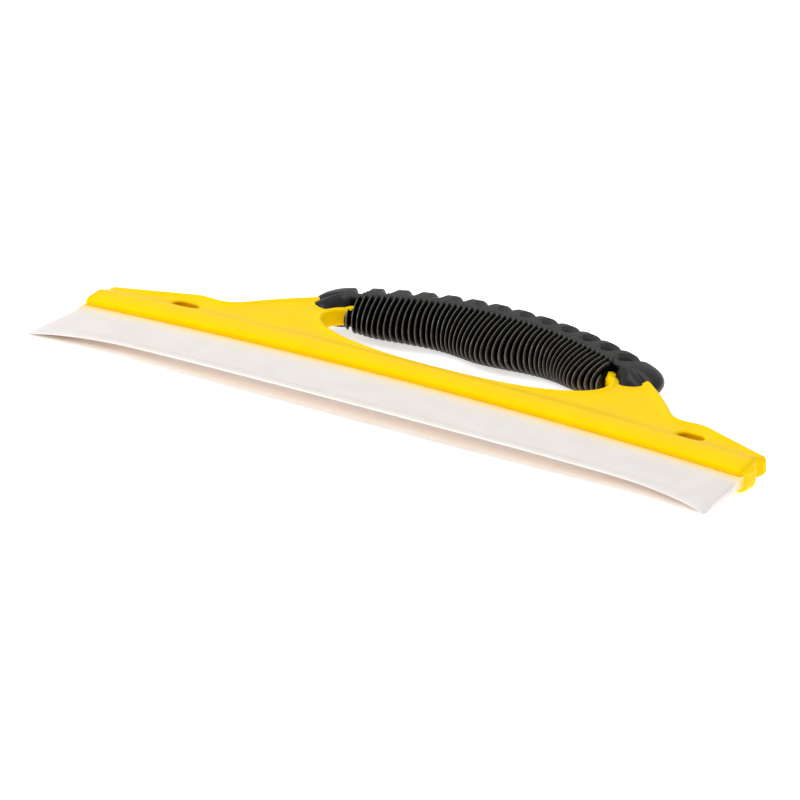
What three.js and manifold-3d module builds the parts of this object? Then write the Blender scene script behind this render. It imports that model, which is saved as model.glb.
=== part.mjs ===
// Hand-held silicone water blade with a closed, rubber-covered grip.
//
// Working frame while the pieces are drawn: X along the blade, +Y from the blade's edge towards the
// grip, Z = 0 on the tool's mid-plane. Every piece is the same above and below that plane, and the
// same left and right. The finished group is moved so that its origin is the middle of its base.
// All sizes are in millimetres.

import * as THREE from 'three';
import { mergeVertices } from 'three/addons/utils/BufferGeometryUtils.js';
import Module from 'manifold-3d';

const wasm = await Module();
wasm.setup();

// ---- Driving dimensions ---------------------------------------------------------------------

const clearance = 0.3;            // gap kept between neighbouring pieces

// Blade: silicone, with a round root bead that sits in the holder and two lips at its working edge.
const bladeLength = 300;          // corner to corner at the working edge
const cornerOverhang = 2.5;       // each corner reaches this far past the holder's end
const webInset = 0.6;             // at the jaws the web ends this far inside the holder's ends
const webDepth = 30.5;            // from the shoulder in front of the jaws to the lips, at the corners
const webThickness = 4.4;         // at the shoulder
const waistThickness = 3.2;       // just behind the lips
const lipSpread = 7.4;            // outside, over both lips
const lipFlareDepth = 9;          // length over which the web opens out into the lips
const lipEdge = 0.8;              // thickness of a lip's edge
const grooveDepth = 5;            // hollow between the lips
const grooveEndWall = 6;          // silicone left at each end of the hollow
const lipStraightShare = 0.7;     // share of the blade's length over which its edge is straight
const cornerReach = 6.8;          // the corners lie this far in front of the straight part
const lipTaperPower = 2.5;        // how late the lips draw together towards the corners
const lipShareAtCorner = 0.12;    // share of the lips' spread left at the corners
const rootBeadRadius = 2.6;
const neckThickness = 2.7;
const flexLimitDegrees = 8;       // how far the blade leans in the jaws, up or down

// Holder bar: the thick front bar of the frame, bowed back in its middle.
const frontBow = 6.3;             // the front edge's middle sits this far behind its ends
const barDepth = 13.2;            // front to back
const barThickness = 11.2;        // at its crown
const barFrontThickness = 8.8;    // at the jaws
const barCrownSetback = 9.5;      // crown behind the front edge
const barNoseInset = 1;           // the nose starts to round this far inside the jaws' faces
const barNoseDepth = 1.6;         // depth of the rounded nose
const barNoseRise = 0.4;          // the bar is this much higher behind the nose than at the jaws
const barBackRadius = 3.4;
const barFrontY = -17.8;          // front edge at the ends
const boreSetback = 10.3;         // blade's root axis behind the front edge, at the ends
const jawGap = 1.1;               // free gap between the jaws and the blade's shoulder

// End caps: they close the two ends of the bar and keep the root bead from sliding out.
const capThickness = 2.6;
const capEdgeRadius = 1.1;
const capPegLength = 4.4;

// Flat part of the frame: two wings, two arms and the core under the grip. Places on a wing are
// counted from the holder's end.
const rimThickness = 7;
const rimWidth = 2.8;
const webRecess = 1;              // the web lies this far below the rims, on both sides
const wingInset = 0.5;            // the wing ends this far inside the holder's end
const flangeBackY = 0.6;          // back corner at the wings' ends
const endCornerInset = 0.8;       // the wing's end leans in by this much towards its back corner
const flankFrontX = 2.6;          // the V-groove's flank runs in by this much towards the bar
const flankBackDepth = 1.6;       // and starts this far in front of the back corner
const flankFrontDepth = 5.2;      // and ends this far in front of it
const wingPeakInset = 35.1;
const wingPeakY = 13.4;
const wingDipInset = 47.2;
const wingDipY = 12.2;
const wingDipRadius = 5;
const wingPeakRadius = 2.5;
const wingEndRadius = 1;
const armShoulderX = 67;
const armShoulderRadius = 6;
const armBendX = 86;              // the arm's back edge bends here, a little outwards
const armBendY = 27;
const armArcShare = 0.88;         // share of the arm's reach at which its back leaves the arc
const coreDepth = 12;             // front to back, under the grip
const keyHoleRadius = 3;          // the rubber locks through these
const keyHolePitch = 26;
const keyHoleCount = 5;

// Hanging slots, one in each wing.
const slotInset = 34.5;           // from the holder's end
const slotY = 1.9;
const slotLength = 11;
const slotWidth = 6.4;

// Opening for the fingers.
const openingFrontY = 3.2;
const openingHalfWidth = 63;
const openingMouthX = 57.4;       // the rims end here, against the rubber
const openingMouthY = 31.4;
const bareEndY = 35;              // the bare rims end here, under the rubber

// Grip: rubber moulded over the core, on a bowed axis.
const gripAxisY = 48.5;           // axis at the middle
const gripBowRadius = 193.7;
const gripHalfLength = 76.5;      // along the axis
const gripEndLength = 9;          // rounded part at each end
const gripHalfDepth = 16.4;       // front to back, at the middle
const gripHalfDepthEnd = 12.6;
const gripHalfHeight = 10.4;
const gripHalfHeightEnd = 5.2;
const fingerSwell = 3.6;          // height of the swells between the fingers, on the front
const fingerSwellPitch = 54;
const scoopCount = 13;            // crosswise scoops along the back
const scoopPitch = 9.9;
const scoopDepth = 2.4;
const scoopHalfAngle = 72;        // degrees up and down from the back
const scoopFade = 16;             // degrees over which a scoop's end rises to the surface

// ---- Values worked out from them --------------------------------------------------------------

const holderLength = bladeLength - 2 * cornerOverhang;
const webLength = holderLength - 2 * webInset;
const flangeLength = holderLength - 2 * wingInset;
const slotX = holderLength / 2 - slotInset;
const wingPeakX = holderLength / 2 - wingPeakInset;
const wingDipX = holderLength / 2 - wingDipInset;
const boreY = barFrontY + boreSetback;
const boreRadius = rootBeadRadius + 0.35;
const flexAngle = THREE.MathUtils.degToRad(flexLimitDegrees + 0.5);
const shoulderY = barFrontY - jawGap;
const lipY = shoulderY - webDepth;
const barEndX = holderLength / 2 - capThickness - clearance;
const rootEndX = barEndX - capPegLength - clearance;
const coreHalf = coreDepth / 2;
const insideBarY = boreY + 1;     // the flat part's outline is closed inside the bar
const gripCentreY = gripAxisY - gripBowRadius;

// ---- Helpers ------------------------------------------------------------------------------------

function solid(geometry) {
  const bare = geometry.index ? geometry.clone() : mergeVertices(geometry);
  bare.deleteAttribute('normal');
  bare.deleteAttribute('uv');
  const welded = mergeVertices(bare, 1e-4);
  return new wasm.Manifold(new wasm.Mesh({
    numProp: 3,
    vertProperties: new Float32Array(welded.attributes.position.array),
    triVerts: new Uint32Array(welded.index.array),
  }));
}

function meshOf(body, name, material) {
  const data = body.getMesh();
  const geometry = new THREE.BufferGeometry();
  geometry.setAttribute('position', new THREE.BufferAttribute(new Float32Array(data.vertProperties), 3));
  geometry.setIndex(new THREE.BufferAttribute(new Uint32Array(data.triVerts), 1));
  geometry.computeVertexNormals();
  const mesh = new THREE.Mesh(geometry, material);
  mesh.name = name;
  return mesh;
}

function joined(bodies) {
  return bodies.reduce((whole, body) => whole.add(body));
}

// Moves every point of a geometry by a function of its place.
function reshaped(geometry, move) {
  const place = geometry.attributes.position;
  const point = new THREE.Vector3();
  for (let i = 0; i < place.count; i += 1) {
    point.fromBufferAttribute(place, i);
    move(point);
    place.setXYZ(i, point.x, point.y, point.z);
  }
  return geometry;
}

// A plan outline made thick, centred on the mid-plane.
function slab(points, thickness) {
  const geometry = new THREE.ExtrudeGeometry(new THREE.Shape(points), {
    depth: thickness, bevelEnabled: false, steps: 1,
  });
  geometry.translate(0, 0, -thickness / 2);
  return solid(geometry);
}

// A section drawn in (Y, Z) and run along X from -1 to 1, to be given its length by a reshape.
function alongX(shape, steps, curveSegments = 6) {
  const geometry = new THREE.ExtrudeGeometry(shape, {
    depth: 2, bevelEnabled: false, steps, curveSegments,
  });
  return reshaped(geometry, (p) => p.set(p.z - 1, p.x, p.y));
}

// How far the bowed front edge has moved back at a place along the bar.
function bowAt(x) {
  const share = Math.min(1, Math.abs(x) / (holderLength / 2));
  return frontBow * (1 - share * share);
}

// Corners with a radius each, joined by straight lines and rounded with short curves.
function roundedLine(path, corners) {
  for (let i = 1; i < corners.length - 1; i += 1) {
    const [x, y, radius] = corners[i];
    const corner = new THREE.Vector2(x, y);
    const before = new THREE.Vector2(...corners[i - 1].slice(0, 2)).sub(corner).setLength(radius);
    const after = new THREE.Vector2(...corners[i + 1].slice(0, 2)).sub(corner).setLength(radius);
    path.lineTo(x + before.x, y + before.y);
    path.quadraticCurveTo(x, y, x + after.x, y + after.y);
  }
  const last = corners[corners.length - 1];
  path.lineTo(last[0], last[1]);
}

// The right half of an outline, from the middle round to the middle, mirrored into a closed loop.
function mirrored(half) {
  const left = half.slice(1, -1).reverse().map((p) => new THREE.Vector2(-p.x, p.y));
  return [...half, ...left];
}

function withoutRepeats(points) {
  return points.filter((p, i) => i === 0 || p.distanceTo(points[i - 1]) > 0.05);
}

function distanceToLoop(point, loop) {
  let nearest = Infinity;
  const foot = new THREE.Vector2();
  loop.forEach((start, i) => {
    const along = loop[(i + 1) % loop.length].clone().sub(start);
    const share = THREE.MathUtils.clamp(foot.copy(point).sub(start).dot(along) / along.lengthSq(), 0, 1);
    nearest = Math.min(nearest, foot.copy(start).addScaledVector(along, share).distanceTo(point));
  });
  return nearest;
}

// Moves a closed loop outwards (or inwards, when the distance is negative). Points that a tight
// corner throws across the loop are left out, so the result never crosses itself.
function offsetLoop(loop, distance) {
  const turn = THREE.ShapeUtils.isClockWise(loop) ? -1 : 1;
  const moved = loop.map((p, i) => {
    const before = loop[(i + loop.length - 1) % loop.length];
    const after = loop[(i + 1) % loop.length];
    const a = new THREE.Vector2(p.y - before.y, before.x - p.x).normalize();
    const b = new THREE.Vector2(after.y - p.y, p.x - after.x).normalize();
    const out = a.add(b).normalize();
    const stretch = 1 / Math.max(0.5, out.dot(b));
    return new THREE.Vector2(p.x, p.y).addScaledVector(out, turn * distance * stretch);
  });
  return withoutRepeats(moved.filter((p) => distanceToLoop(p, loop) > Math.abs(distance) - 0.002));
}

// A point on the edge of a band that follows the grip's bowed axis, at a distance behind it.
function axisPoint(x, behind) {
  const radius = gripBowRadius + behind;
  return new THREE.Vector2(x, gripCentreY + Math.sqrt(radius * radius - x * x));
}

// ---- Outlines of the frame ----------------------------------------------------------------------

function backOutline() {
  const shoulder = axisPoint(armShoulderX, coreHalf);
  const endX = flangeLength / 2;
  const path = new THREE.Path();
  path.moveTo(0, gripAxisY + coreHalf);
  const endAngle = Math.acos(armShoulderX * armArcShare / (gripBowRadius + coreHalf));
  path.absarc(0, gripCentreY, gripBowRadius + coreHalf, Math.PI / 2, endAngle, true);
  roundedLine(path, [
    [path.currentPoint.x, path.currentPoint.y, 0],
    [shoulder.x, shoulder.y, armShoulderRadius],
    [armBendX, armBendY, armShoulderRadius],
    [wingDipX, wingDipY, wingDipRadius],
    [wingPeakX, wingPeakY, wingPeakRadius],
    [endX - endCornerInset, flangeBackY, wingEndRadius / 2],
    [endX, flangeBackY - flankBackDepth, wingEndRadius / 2],
    [endX - flankFrontX, flangeBackY - flankFrontDepth, wingEndRadius],
    [endX - flankFrontX, insideBarY, wingEndRadius / 2],
    [0, insideBarY, 0],
  ]);
  return mirrored(withoutRepeats(path.getPoints(5)));
}

function openingOutline() {
  const mouth = axisPoint(openingMouthX, -coreHalf);
  const path = new THREE.Path();
  path.moveTo(0, openingFrontY);
  path.splineThru([
    [16, 3.9], [32, 6.3], [45, 9.4], [55, 13.6], [61, 18.6], [openingHalfWidth, 24],
    [61.3, 28.8], [openingMouthX, openingMouthY],
  ].map(([x, y]) => new THREE.Vector2(x, y)));
  path.lineTo(mouth.x, mouth.y);
  const startAngle = Math.acos(mouth.x / (gripBowRadius - coreHalf));
  path.absarc(0, gripCentreY, gripBowRadius - coreHalf, startAngle, Math.PI / 2, false);
  return mirrored(withoutRepeats(path.getPoints(4)));
}

// ---- Frame -----------------------------------------------------------------------------------------

// Half of the bar's section, as (distance behind the front edge, height), mirrored below the mid-plane.
function barShape(grow = 0) {
  const front = barFrontThickness / 2 + grow;
  const crown = barThickness / 2 + grow;
  const back = barDepth + grow;
  const shape = new THREE.Shape();
  const nose = front + barNoseRise;
  const pull = front + barNoseRise / 2;
  shape.moveTo(-grow, -front + barNoseInset);
  shape.lineTo(-grow, front - barNoseInset);
  shape.quadraticCurveTo(-grow, pull, barNoseDepth, nose);
  shape.quadraticCurveTo(barCrownSetback / 2, crown, barCrownSetback, crown);
  shape.quadraticCurveTo(back, crown, back, crown - barBackRadius);
  shape.lineTo(back, -crown + barBackRadius);
  shape.quadraticCurveTo(back, -crown, barCrownSetback, -crown);
  shape.quadraticCurveTo(barCrownSetback / 2, -crown, barNoseDepth, -nose);
  shape.quadraticCurveTo(-grow, -pull, -grow, -front + barNoseInset);
  return shape;
}

function holderBar() {
  const geometry = reshaped(alongX(barShape(), 20, 4), (p) => {
    const x = p.x * barEndX;
    p.set(x, p.y + barFrontY + bowAt(x), p.z);
  });
  return solid(geometry);
}

function rod(radius, length, segments) {
  const geometry = new THREE.CylinderGeometry(radius, radius, length, segments);
  geometry.rotateZ(Math.PI / 2);
  return geometry;
}

// The bore for the blade's root bead, and the mouth that opens from it to the front.
function bladeChannel() {
  const length = holderLength + 2;
  const bore = rod(boreRadius, length, 20).translate(0, boreY, 0);
  const throat = neckThickness / 2 + clearance;
  const reach = boreSetback + 2;
  const mouthHalf = throat + reach * Math.tan(flexAngle);
  const shape = new THREE.Shape();
  shape.moveTo(boreY, -throat);
  shape.lineTo(boreY, throat);
  shape.lineTo(boreY - reach, mouthHalf);
  shape.lineTo(boreY - reach, -mouthHalf);
  const mouth = reshaped(alongX(shape, 1), (p) => p.setX(p.x * length / 2));
  return solid(bore).add(solid(mouth));
}

function slotCutter(x) {
  const half = slotLength / 2 - slotWidth / 2;
  const shape = new THREE.Shape();
  shape.absarc(x + half, slotY, slotWidth / 2, -Math.PI / 2, Math.PI / 2, false);
  shape.absarc(x - half, slotY, slotWidth / 2, Math.PI / 2, Math.PI * 1.5, false);
  return slab(withoutRepeats(shape.getPoints(8)), barThickness + 2);
}

function keyHoles(radius) {
  const pegs = [];
  for (let i = 0; i < keyHoleCount; i += 1) {
    const spot = axisPoint((i - (keyHoleCount - 1) / 2) * keyHolePitch, 0);
    const peg = new THREE.CylinderGeometry(radius, radius, rimThickness + 2, 12);
    peg.rotateX(Math.PI / 2);
    pegs.push(solid(peg.translate(spot.x, spot.y, 0)));
  }
  return joined(pegs);
}

// The pocket between the rims, above the web; it stops where the rubber of the grip begins.
function webPocket() {
  const pocket = slab(offsetLoop(backOutline(), -rimWidth), rimThickness)
    .subtract(slab(offsetLoop(openingOutline(), rimWidth), rimThickness + 1));
  const pocketEndY = openingMouthY - rimWidth;
  const keep = new THREE.BoxGeometry(flangeLength, pocketEndY - boreY, webRecess);
  const middleY = (pocketEndY + boreY) / 2;
  const top = solid(keep.clone().translate(0, middleY, (rimThickness - webRecess) / 2 + 0.001));
  const bottom = solid(keep.clone().translate(0, middleY, -(rimThickness - webRecess) / 2 - 0.001));
  return pocket.intersect(top.add(bottom));
}

// Room for an end cap, past the end of the bar and in front of the wing's end.
function capSeat(side) {
  const depth = 2 * barDepth;
  const seat = new THREE.BoxGeometry(2 * capThickness, depth, 2 * barThickness);
  seat.translate(side * (barEndX + capThickness), barFrontY + barDepth + clearance - depth / 2, 0);
  return solid(seat);
}

function buildFrame() {
  const plate = slab(backOutline(), rimThickness)
    .subtract(slab(openingOutline(), rimThickness + 2))
    .subtract(webPocket());
  return plate
    .add(holderBar())
    .subtract(bladeChannel())
    .subtract(capSeat(1))
    .subtract(capSeat(-1))
    .subtract(slotCutter(slotX))
    .subtract(slotCutter(-slotX))
    .subtract(keyHoles(keyHoleRadius));
}

// ---- End caps --------------------------------------------------------------------------------------

function buildEndCap(side) {
  const geometry = new THREE.ExtrudeGeometry(barShape(-capEdgeRadius), {
    depth: capThickness - capEdgeRadius,
    steps: 1,
    curveSegments: 4,
    bevelEnabled: true,
    bevelSize: capEdgeRadius,
    bevelThickness: capEdgeRadius,
    bevelSegments: 3,
  });
  reshaped(geometry, (p) => p.set(p.z, p.x + barFrontY, p.y));
  const inside = new THREE.BoxGeometry(2 * capThickness, 4 * barDepth, 4 * barThickness);
  inside.translate(-capThickness, barFrontY, 0);
  const plate = solid(geometry).subtract(solid(inside));
  const peg = rod(boreRadius - clearance, capPegLength + 1, 16).translate((1 - capPegLength) / 2, boreY, 0);
  const cap = plate.add(solid(peg)).getMesh();
  const whole = new THREE.BufferGeometry();
  whole.setAttribute('position', new THREE.BufferAttribute(new Float32Array(cap.vertProperties), 3));
  whole.setIndex(new THREE.BufferAttribute(new Uint32Array(cap.triVerts), 1));
  if (side < 0) {
    whole.rotateZ(Math.PI);
    whole.translate(0, 2 * boreY, 0);
    reshaped(whole, (p) => p.setY(2 * boreY - p.y));
    whole.setIndex(Array.from(whole.index.array).reverse());
  }
  return solid(whole.translate(side * (barEndX + clearance), 0, 0));
}

// ---- Blade -----------------------------------------------------------------------------------------

// Share of the lips' full spread that is left at a place along the blade.
function lipShare(x) {
  const out = Math.min(1, Math.abs(x) / (bladeLength / 2));
  return Math.max(lipShareAtCorner, Math.sqrt(1 - out ** lipTaperPower));
}

// How far the lips' edge lies behind the blade's corners at a place along it.
function lipSetback(x) {
  const out = Math.min(1, Math.abs(x) / (bladeLength / 2));
  const past = Math.max(0, out - lipStraightShare) / (1 - lipStraightShare);
  return cornerReach * (1 - past * past);
}

function placeOnBlade(p) {
  const y = p.y;
  const isRoot = y > shoulderY + 0.01;
  const spread = THREE.MathUtils.clamp((shoulderY - y) / webDepth, 0, 1);
  const half = isRoot ? rootEndX : THREE.MathUtils.lerp(webLength, bladeLength, spread) / 2;
  const x = half * Math.sin(p.x * Math.PI / 2);
  const beadFrontY = boreY - rootBeadRadius;
  const follow = THREE.MathUtils.clamp((beadFrontY - y) / (beadFrontY - barFrontY), 0, 1);
  const flare = THREE.MathUtils.clamp((lipY + lipFlareDepth - y) / lipFlareDepth, 0, 1);
  const share = THREE.MathUtils.lerp(1, lipShare(x), flare);
  p.set(x, y + THREE.MathUtils.lerp(bowAt(x) * follow, lipSetback(x), spread), p.z * share);
}

function bladeShape() {
  const neck = neckThickness / 2;
  const shoulder = webThickness / 2;
  const waist = waistThickness / 2;
  const lip = lipSpread / 2;
  const meet = Math.asin(neck / rootBeadRadius);
  const waistY = lipY + lipFlareDepth;
  const shape = new THREE.Shape();
  shape.absarc(boreY, 0, rootBeadRadius, -Math.PI + meet, Math.PI - meet, false);
  shape.lineTo(barFrontY - 0.5, neck);
  shape.lineTo(shoulderY, shoulder);
  shape.lineTo(waistY, waist);
  shape.quadraticCurveTo(lipY + 3, waist, lipY, lip);
  shape.lineTo(lipY, -lip);
  shape.quadraticCurveTo(lipY + 3, -waist, waistY, -waist);
  shape.lineTo(shoulderY, -shoulder);
  shape.lineTo(barFrontY - 0.5, -neck);
  return shape;
}

function grooveBetweenLips(steps) {
  const half = lipSpread / 2 - lipEdge;
  const shape = new THREE.Shape();
  shape.moveTo(-1, -half);
  shape.quadraticCurveTo(grooveDepth * 0.4, -half * 0.8, grooveDepth, 0);
  shape.quadraticCurveTo(grooveDepth * 0.4, half * 0.8, -1, half);
  const endX = bladeLength / 2 - grooveEndWall;
  return solid(reshaped(alongX(shape, steps, 3), (p) => {
    const x = THREE.MathUtils.clamp(bladeLength / 2 * Math.sin(p.x * Math.PI / 2), -endX, endX);
    const share = (lipShare(x) * lipSpread / 2 - lipEdge) / half;
    p.set(x, lipY + p.y * (p.y > 0 ? share : 1) + lipSetback(x), p.z * share);
  }));
}

function buildBlade() {
  const steps = 28;
  const body = solid(reshaped(alongX(bladeShape(), steps, 5), placeOnBlade));
  return body.subtract(grooveBetweenLips(steps));
}

// ---- Grip ------------------------------------------------------------------------------------------

// Share of the scoops' full depth at a place on the grip; angle is counted from the back.
function scoopShare(along, angle) {
  const row = Math.round(along / scoopPitch);
  if (Math.abs(row) > (scoopCount - 1) / 2) return 0;
  const across = Math.cos(Math.PI * (along / scoopPitch - row));
  const up = THREE.MathUtils.radToDeg(Math.abs(angle));
  const fade = THREE.MathUtils.clamp((scoopHalfAngle - up) / scoopFade, 0, 1);
  return Math.max(0, across * across) * Math.sqrt(fade);
}

function gripBody() {
  const rings = 80;
  const sides = 28;
  const profile = [];
  for (let i = 0; i <= rings; i += 1) {
    const along = gripHalfLength * (1 - 2 * i / rings);
    const into = Math.max(0, Math.abs(along) - (gripHalfLength - gripEndLength)) / gripEndLength;
    profile.push(new THREE.Vector2(Math.sqrt(Math.max(0, 1 - into ** 2.2)), along));
  }
  const geometry = new THREE.LatheGeometry(profile, sides);
  return solid(reshaped(geometry, (p) => {
    const along = p.y;
    const angle = Math.atan2(p.z, p.x);
    const radius = Math.hypot(p.x, p.z);
    const share = (along / gripHalfLength) ** 2;
    const depth = THREE.MathUtils.lerp(gripHalfDepth, gripHalfDepthEnd, share);
    const height = THREE.MathUtils.lerp(gripHalfHeight, gripHalfHeightEnd, share);
    const facingFingers = Math.max(0, -Math.cos(angle));
    const wave = Math.cos(2 * Math.PI * along / fingerSwellPitch);
    const swell = fingerSwell * wave * facingFingers * (1 - share);
    const scoop = scoopDepth * scoopShare(along, angle);
    const behind = radius * Math.cos(angle) * (depth + swell - scoop);
    const turn = along / gripBowRadius;
    p.set(
      (gripBowRadius + behind) * Math.sin(turn),
      gripCentreY + (gripBowRadius + behind) * Math.cos(turn),
      radius * Math.sin(angle) * (height - scoop),
    );
  }));
}

// Where the rubber stops short: the fingers' opening past its mouth, with the bare rim around it.
function bareOpening() {
  const rim = slab(offsetLoop(openingOutline(), rimWidth), 4 * gripHalfHeight);
  const reach = openingHalfWidth;
  const side = new THREE.BoxGeometry(reach, reach, 4 * gripHalfHeight);
  const fromMiddle = openingMouthX + clearance + reach / 2;
  const ends = [-1, 1].map((sign) => solid(side.clone().translate(sign * fromMiddle, bareEndY - reach / 2, 0)));
  return rim.intersect(joined(ends));
}

function buildGrip() {
  const core = slab(offsetLoop(backOutline(), clearance), rimThickness + 2 * clearance)
    .subtract(slab(offsetLoop(openingOutline(), -clearance), rimThickness + 3))
    .subtract(keyHoles(keyHoleRadius - clearance));
  return gripBody().subtract(core).subtract(bareOpening());
}

// ---- Assembly --------------------------------------------------------------------------------------

const yellowPlastic = new THREE.MeshStandardMaterial({ color: 0xf8c800, roughness: 0.42, metalness: 0 });
const silicone = new THREE.MeshStandardMaterial({ color: 0xe6e0da, roughness: 0.35, metalness: 0 });
const blackRubber = new THREE.MeshStandardMaterial({ color: 0x1d1c1c, roughness: 0.6, metalness: 0 });

const tool = new THREE.Group();
tool.add(
  meshOf(buildFrame(), 'frame', yellowPlastic.clone()),
  meshOf(buildEndCap(-1), 'end_cap_left', yellowPlastic.clone()),
  meshOf(buildEndCap(1), 'end_cap_right', yellowPlastic.clone()),
  meshOf(buildBlade(), 'blade', silicone),
  meshOf(buildGrip(), 'grip', blackRubber),
);

const box = new THREE.Box3().setFromObject(tool);
const centre = box.getCenter(new THREE.Vector3());
tool.position.set(-centre.x, -centre.y, -box.min.z);

export default tool;
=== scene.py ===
# %% [markdown]
# # A silicone water blade with a ribbed rubber grip
# The tool has four kinds of piece: a yellow moulded frame, two small caps at the ends of its front
# bar, a milky silicone blade and a black rubber grip. Each one is built below in its own step, on
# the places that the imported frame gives, and each one gets a finish made of nodes.

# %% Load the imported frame
import math
import bmesh
import bpy
import numpy as np
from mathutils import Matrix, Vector
from mathutils.geometry import delaunay_2d_cdt


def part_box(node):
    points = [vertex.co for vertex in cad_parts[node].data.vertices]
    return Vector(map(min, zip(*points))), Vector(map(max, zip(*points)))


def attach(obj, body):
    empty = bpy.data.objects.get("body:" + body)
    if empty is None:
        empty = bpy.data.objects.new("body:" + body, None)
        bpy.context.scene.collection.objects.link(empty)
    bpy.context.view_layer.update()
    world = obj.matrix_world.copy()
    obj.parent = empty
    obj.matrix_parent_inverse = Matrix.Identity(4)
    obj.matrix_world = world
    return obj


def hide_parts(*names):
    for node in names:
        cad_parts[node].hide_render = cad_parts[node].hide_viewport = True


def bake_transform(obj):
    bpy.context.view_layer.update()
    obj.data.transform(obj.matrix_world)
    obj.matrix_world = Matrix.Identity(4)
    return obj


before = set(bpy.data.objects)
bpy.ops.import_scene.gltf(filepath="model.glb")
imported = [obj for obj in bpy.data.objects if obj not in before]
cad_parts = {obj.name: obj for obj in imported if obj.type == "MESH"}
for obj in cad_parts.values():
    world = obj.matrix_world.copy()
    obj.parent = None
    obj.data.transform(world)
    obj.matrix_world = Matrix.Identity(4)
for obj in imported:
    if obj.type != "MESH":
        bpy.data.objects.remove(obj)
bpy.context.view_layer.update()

# %% [markdown]
# ## One drawing for the whole tool
# All pieces share one drawing in millimetres: X runs along the blade, +Y from the blade's edge back
# to the grip, and Z = 0 is the mid-plane, about which the tool is symmetric. The drawing is placed by
# the frame: its mid-plane is the middle of the yellow frame's box, and its zero line lies a fixed
# distance behind the blade's front corners. One function turns drawn points into metres.

# %% Place the drawing
MM = 0.001
CORNERS_TO_ZERO = 49.4 * MM          # from the blade's corners back to the drawing's zero line

blade_low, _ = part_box("blade")
frame_low, frame_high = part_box("frame")
ZERO_Y = blade_low.y + CORNERS_TO_ZERO
MID_Z = (frame_low.z + frame_high.z) / 2
DRAWING_ZERO = np.array([0.0, ZERO_Y, MID_Z])


def placed(points):
    """Drawn points in millimetres as places in metres."""
    return np.asarray(points, float) * MM + DRAWING_ZERO


print("zero line at y =", round(ZERO_Y, 5), "mid-plane at z =", round(MID_Z, 5))

# %% [markdown]
# ## Helpers for mesh work
# Every piece starts as arrays of points and faces. Working with whole arrays keeps the shape in a few
# formulas, and a formula gives a cleaner surface than a boolean of primitives would.

# %% A mesh from points and faces
def new_piece(name, points, faces, sharp_degrees=40):
    data = bpy.data.meshes.new(name)
    data.from_pydata(placed(points).tolist(), [], faces)
    data.validate()
    piece = bpy.data.objects.new(name, data)
    bpy.context.scene.collection.objects.link(piece)
    data.shade_smooth()
    data.set_sharp_from_angle(angle=math.radians(sharp_degrees))
    print(name, "has", len(data.vertices), "points and", len(data.polygons), "faces")
    return piece


def places_of(piece):
    """Where a piece's points lie, in metres."""
    co = np.empty(len(piece.data.vertices) * 3)
    piece.data.vertices.foreach_get("co", co)
    return co.reshape(-1, 3)


def drawn_places(piece):
    """The same places on the drawing, in millimetres."""
    return (places_of(piece) - DRAWING_ZERO) / MM


def point_value(piece, name, values):
    """Stores a number on every point, for the piece's finish to read."""
    attribute = piece.data.attributes.new(name, "FLOAT", "POINT")
    attribute.data.foreach_set("value", np.asarray(values, np.float32))


# %% Smooth steps and curves
def clamp01(value):
    return np.clip(value, 0.0, 1.0)


def smooth(value):
    """Rises softly from 0 to 1 as the value does."""
    t = clamp01(value)
    return t * t * (3 - 2 * t)


def soft_max(a, b, width):
    """The larger of two heights, with the crease between them filled over a width."""
    blend = clamp01((width - np.abs(a - b)) / width)
    return np.maximum(a, b) + blend * blend * width / 4


def curve_through(points, per_span=12):
    """A Catmull-Rom curve through the points."""
    p = np.array([points[0]] + list(points) + [points[-1]], float)
    line = []
    for i in range(1, len(p) - 2):
        for t in np.linspace(0, 1, per_span, endpoint=False):
            a = (p[i + 1] - p[i - 1]) / 2
            b = (p[i + 2] - p[i]) / 2
            d = p[i + 1] - p[i]
            line.append(p[i] + a * t + (3 * d - 2 * a - b) * t * t + (a + b - 2 * d) * t ** 3)
    return np.array(line + [p[-2]])


def rounded_corners(corners, per_corner=8):
    """Straight lines between corners (x, y, radius), each corner eased by a short curve."""
    line = [np.array(corners[0][:2], float)]
    for before, (x, y, radius), after in zip(corners, corners[1:], corners[2:]):
        corner = np.array([x, y], float)
        start = np.array(before[:2], float) - corner
        end = np.array(after[:2], float) - corner
        start *= radius / np.linalg.norm(start)
        end *= radius / np.linalg.norm(end)
        for t in np.linspace(0, 1, per_corner):
            line.append(corner + start * (1 - t) ** 2 + end * t ** 2)
    return np.array(line + [np.array(corners[-1][:2], float)])


def evenly(line, spacing):
    """The same line with its points about one spacing apart."""
    steps = np.linalg.norm(np.diff(line, axis=0), axis=1)
    along = np.concatenate([[0], np.cumsum(steps)])
    places = np.linspace(0, along[-1], max(2, int(round(along[-1] / spacing)) + 1))
    return np.stack([np.interp(places, along, line[:, i]) for i in range(2)], axis=1)


MIRRORED = np.array([-1.0, 1.0])     # takes a drawn point to the same place on the left half


def both_halves(half):
    """A right half, drawn from the middle round to the middle, mirrored into a closed loop."""
    left = half[1:-1][::-1] * MIRRORED
    return np.concatenate([half, left])


# %% Distances on the drawing
def distance_to(points, starts, ends, block=1500):
    """Shortest distance from each point to a set of straight pieces of line."""
    along = ends - starts
    length = np.maximum((along ** 2).sum(1), 1e-12)
    found = np.empty(len(points))
    for i in range(0, len(points), block):
        offset = points[i:i + block, None] - starts
        share = clamp01((offset * along).sum(2) / length)
        gap = offset - share[..., None] * along
        found[i:i + block] = np.sqrt((gap ** 2).sum(2)).min(1)
    return found


def to_line(points, line):
    return distance_to(points, line[:-1], line[1:])


def to_loop(points, loop):
    return distance_to(points, loop, np.roll(loop, -1, axis=0))


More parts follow.
